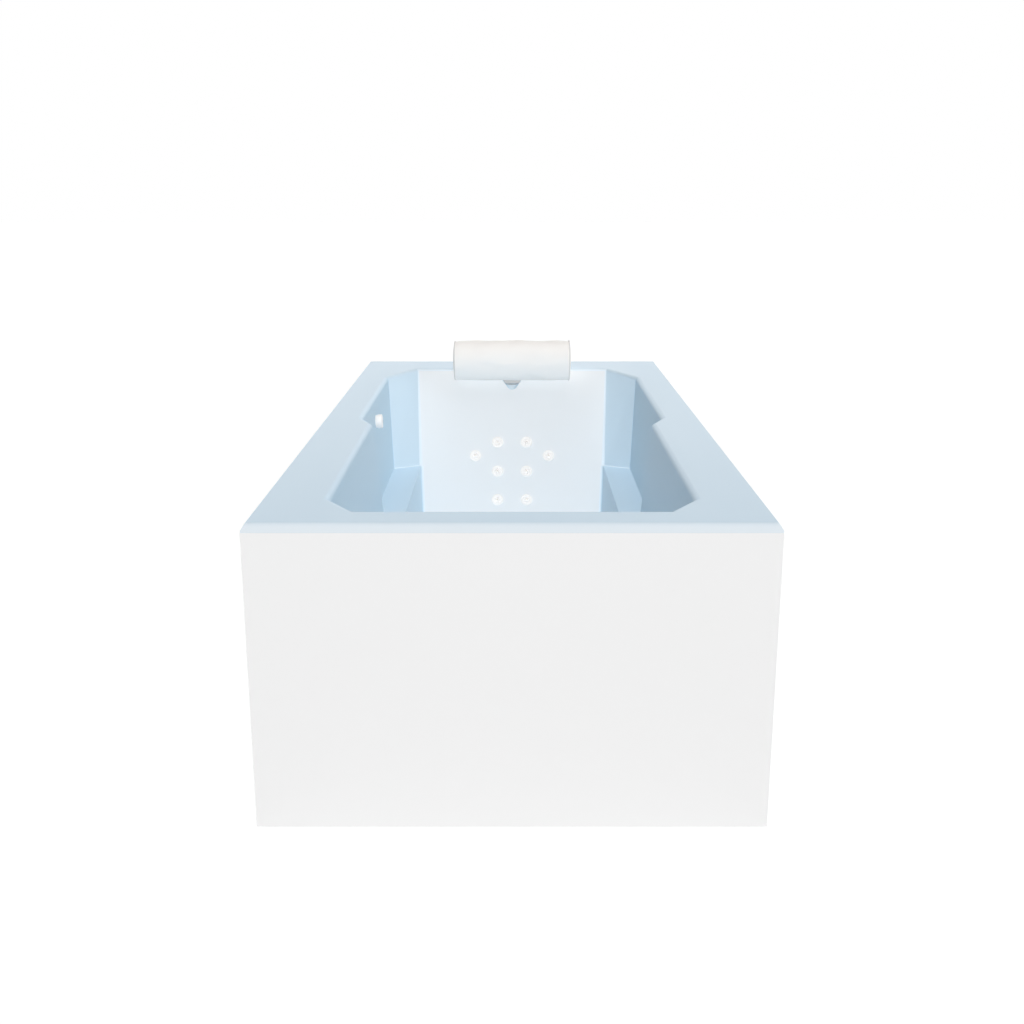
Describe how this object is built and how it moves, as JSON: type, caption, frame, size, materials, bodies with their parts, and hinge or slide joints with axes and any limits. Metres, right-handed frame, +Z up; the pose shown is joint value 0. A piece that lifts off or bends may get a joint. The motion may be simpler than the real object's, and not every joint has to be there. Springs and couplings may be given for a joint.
{
  "type": "jetted bathtub",
  "caption": "Free-standing rectangular jetted bathtub with skirts, reclined backrest with round jets, armrest ledges, circulation pump, waste and head pillow.",
  "frame": {"origin": "floor level, under the centre of the tub", "axes": "+X to the right as seen from the foot end, +Y from the foot end to the head end, +Z up"},
  "size_m": [0.8382, 1.8288, 0.5925],
  "materials": {
    "acrylic": "gloss",
    "plywood": "matte",
    "galvanised_steel": "satin",
    "foot_steel": "satin",
    "white_panel": "satin",
    "white_pvc": "satin",
    "rubber": "matte",
    "clear_grey_pvc": "satin",
    "black_plastic": "matte",
    "impeller_plastic": "matte",
    "motor_aluminium": "satin",
    "motor_cover": "satin",
    "shaft_steel": "polished",
    "jet_white": "gloss",
    "chrome": "polished",
    "pillow_skin": "satin",
    "tongue_grey": "matte"
  },
  "bodies": {
    "tub": {"tub_shell": "acrylic", "base_board": "plywood", "frame_rails": "galvanised_steel", "frame_cross_bars": "galvanised_steel", "frame_posts": "galvanised_steel", "foot_lock_nuts": "galvanised_steel", "skirt_foot_end": "white_panel", "skirt_head_end": "white_panel", "skirt_left": "white_panel", "skirt_clips": "galvanised_steel", "jet_bodies": "white_pvc", "gaskets": "rubber", "fitting_nuts": "white_pvc", "water_manifold": "white_pvc", "air_manifold": "clear_grey_pvc", "pump_volute": "black_plastic", "pump_cover": "black_plastic", "motor_housing": "motor_aluminium", "fan_cover": "motor_cover", "pump_foot": "black_plastic", "terminal_box": "black_plastic", "cable_gland": "black_plastic", "suction_body": "white_pvc", "suction_cover": "jet_white", "suction_pipe": "white_pvc", "drain_flange": "chrome", "drain_shoe": "white_pvc", "overflow_pipe": "white_pvc", "overflow_plate": "chrome", "button_bezel": "jet_white", "air_tube": "clear_grey_pvc"},
    "jet_ring_1_body": {"jet_ring_1": "jet_white"},
    "jet_nozzle_1_body": {"jet_nozzle_1": "jet_white"},
    "jet_ring_2_body": {"jet_ring_2": "jet_white"},
    "jet_nozzle_2_body": {"jet_nozzle_2": "jet_white"},
    "jet_ring_3_body": {"jet_ring_3": "jet_white"},
    "jet_nozzle_3_body": {"jet_nozzle_3": "jet_white"},
    "jet_ring_4_body": {"jet_ring_4": "jet_white"},
    "jet_nozzle_4_body": {"jet_nozzle_4": "jet_white"},
    "jet_ring_5_body": {"jet_ring_5": "jet_white"},
    "jet_nozzle_5_body": {"jet_nozzle_5": "jet_white"},
    "jet_ring_6_body": {"jet_ring_6": "jet_white"},
    "jet_nozzle_6_body": {"jet_nozzle_6": "jet_white"},
    "jet_ring_7_body": {"jet_ring_7": "jet_white"},
    "jet_nozzle_7_body": {"jet_nozzle_7": "jet_white"},
    "jet_ring_8_body": {"jet_ring_8": "jet_white"},
    "jet_nozzle_8_body": {"jet_nozzle_8": "jet_white"},
    "pump_rotor": {"pump_impeller": "impeller_plastic", "motor_shaft": "shaft_steel", "motor_fan": "impeller_plastic"},
    "overflow_knob_body": {"overflow_knob": "chrome"},
    "stopper_body": {"drain_stopper": "chrome"},
    "button_body": {"button_cap": "jet_white"},
    "pillow_body": {"pillow": "pillow_skin", "pillow_tongue": "tongue_grey"},
    "service_panel": {"skirt_right": "white_panel"},
    "foot_foot_left_body": {"foot_foot_left": "foot_steel"},
    "foot_foot_right_body": {"foot_foot_right": "foot_steel"},
    "foot_head_left_body": {"foot_head_left": "foot_steel"},
    "foot_head_right_body": {"foot_head_right": "foot_steel"}
  },
  "joints": [
    {"name": "jet_ring_turn_1", "type": "hinge", "parent": "tub", "child": "jet_ring_1_body", "pos_m": [-0.0406, 0.66652, 0.314], "axis": [0, 0.8965, -0.4431], "range_deg": [0, 90]},
    {"name": "jet_nozzle_tilt_1", "type": "hinge", "parent": "jet_ring_1_body", "child": "jet_nozzle_1_body", "pos_m": [-0.0406, 0.66562, 0.31444], "axis": [1, 0, 0], "range_deg": [-15, 15]},
    {"name": "jet_ring_turn_2", "type": "hinge", "parent": "tub", "child": "jet_ring_2_body", "pos_m": [0.0406, 0.66652, 0.314], "axis": [0, 0.8965, -0.4431], "range_deg": [0, 90]},
    {"name": "jet_nozzle_tilt_2", "type": "hinge", "parent": "jet_ring_2_body", "child": "jet_nozzle_2_body", "pos_m": [0.0406, 0.66562, 0.31444], "axis": [1, 0, 0], "range_deg": [-15, 15]},
    {"name": "jet_ring_turn_3", "type": "hinge", "parent": "tub", "child": "jet_ring_3_body", "pos_m": [-0.1024, 0.64922, 0.279], "axis": [0, 0.8965, -0.4431], "range_deg": [0, 90]},
    {"name": "jet_nozzle_tilt_3", "type": "hinge", "parent": "jet_ring_3_body", "child": "jet_nozzle_3_body", "pos_m": [-0.1024, 0.64833, 0.27944], "axis": [1, 0, 0], "range_deg": [-15, 15]},
    {"name": "jet_ring_turn_4", "type": "hinge", "parent": "tub", "child": "jet_ring_4_body", "pos_m": [0.1024, 0.64922, 0.279], "axis": [0, 0.8965, -0.4431], "range_deg": [0, 90]},
    {"name": "jet_nozzle_tilt_4", "type": "hinge", "parent": "jet_ring_4_body", "child": "jet_nozzle_4_body", "pos_m": [0.1024, 0.64833, 0.27944], "axis": [1, 0, 0], "range_deg": [-15, 15]},
    {"name": "jet_ring_turn_5", "type": "hinge", "parent": "tub", "child": "jet_ring_5_body", "pos_m": [-0.0406, 0.62945, 0.239], "axis": [0, 0.8965, -0.4431], "range_deg": [0, 90]},
    {"name": "jet_nozzle_tilt_5", "type": "hinge", "parent": "jet_ring_5_body", "child": "jet_nozzle_5_body", "pos_m": [-0.0406, 0.62855, 0.23944], "axis": [1, 0, 0], "range_deg": [-15, 15]},
    {"name": "jet_ring_turn_6", "type": "hinge", "parent": "tub", "child": "jet_ring_6_body", "pos_m": [0.0406, 0.62945, 0.239], "axis": [0, 0.8965, -0.4431], "range_deg": [0, 90]},
    {"name": "jet_nozzle_tilt_6", "type": "hinge", "parent": "jet_ring_6_body", "child": "jet_nozzle_6_body", "pos_m": [0.0406, 0.62855, 0.23944], "axis": [1, 0, 0], "range_deg": [-15, 15]},
    {"name": "jet_ring_turn_7", "type": "hinge", "parent": "tub", "child": "jet_ring_7_body", "pos_m": [-0.0406, 0.59337, 0.166], "axis": [0, 0.8965, -0.4431], "range_deg": [0, 90]},
    {"name": "jet_nozzle_tilt_7", "type": "hinge", "parent": "jet_ring_7_body", "child": "jet_nozzle_7_body", "pos_m": [-0.0406, 0.59248, 0.16644], "axis": [1, 0, 0], "range_deg": [-15, 15]},
    {"name": "jet_ring_turn_8", "type": "hinge", "parent": "tub", "child": "jet_ring_8_body", "pos_m": [0.0406, 0.59337, 0.166], "axis": [0, 0.8965, -0.4431], "range_deg": [0, 90]},
    {"name": "jet_nozzle_tilt_8", "type": "hinge", "parent": "jet_ring_8_body", "child": "jet_nozzle_8_body", "pos_m": [0.0406, 0.59248, 0.16644], "axis": [1, 0, 0], "range_deg": [-15, 15]},
    {"name": "pump_spin", "type": "hinge", "parent": "tub", "child": "pump_rotor", "pos_m": [0, 0.79, 0.163], "axis": [1, 0, 0], "continuous": true},
    {"name": "overflow_knob_turn", "type": "hinge", "parent": "tub", "child": "overflow_knob_body", "pos_m": [0, -0.79305, 0.4], "axis": [0, -0.9945, -0.1045], "range_deg": [0, 90]},
    {"name": "drain_stopper_lift", "type": "slide", "parent": "tub", "child": "stopper_body", "axis": [0, 0, 1], "range_m": [0, 0.0101]},
    {"name": "button_press", "type": "slide", "parent": "tub", "child": "button_body", "axis": [-0.9992, 0, -0.041], "range_m": [0, 0.0035], "stiffness_N_per_m": 400, "springref_m": -0.001},
    {"name": "pillow_lift", "type": "slide", "parent": "tub", "child": "pillow_body", "axis": [0, 0, 1], "range_m": [0, 0.15]},
    {"name": "service_panel_pull", "type": "slide", "parent": "tub", "child": "service_panel", "axis": [1, 0, 0], "range_m": [0, 0.3]},
    {"name": "foot_foot_left_adjust", "type": "slide", "parent": "tub", "child": "foot_foot_left_body", "axis": [0, 0, -1], "range_m": [0, 0.012]},
    {"name": "foot_foot_right_adjust", "type": "slide", "parent": "tub", "child": "foot_foot_right_body", "axis": [0, 0, -1], "range_m": [0, 0.012]},
    {"name": "foot_head_left_adjust", "type": "slide", "parent": "tub", "child": "foot_head_left_body", "axis": [0, 0, -1], "range_m": [0, 0.012]},
    {"name": "foot_head_right_adjust", "type": "slide", "parent": "tub", "child": "foot_head_right_body", "axis": [0, 0, -1], "range_m": [0, 0.012]}
  ],
  "couplings": [
    {"joint": "drain_stopper_lift", "follows": "overflow_knob_turn", "m_per_rad": 0.0063}
  ]
}
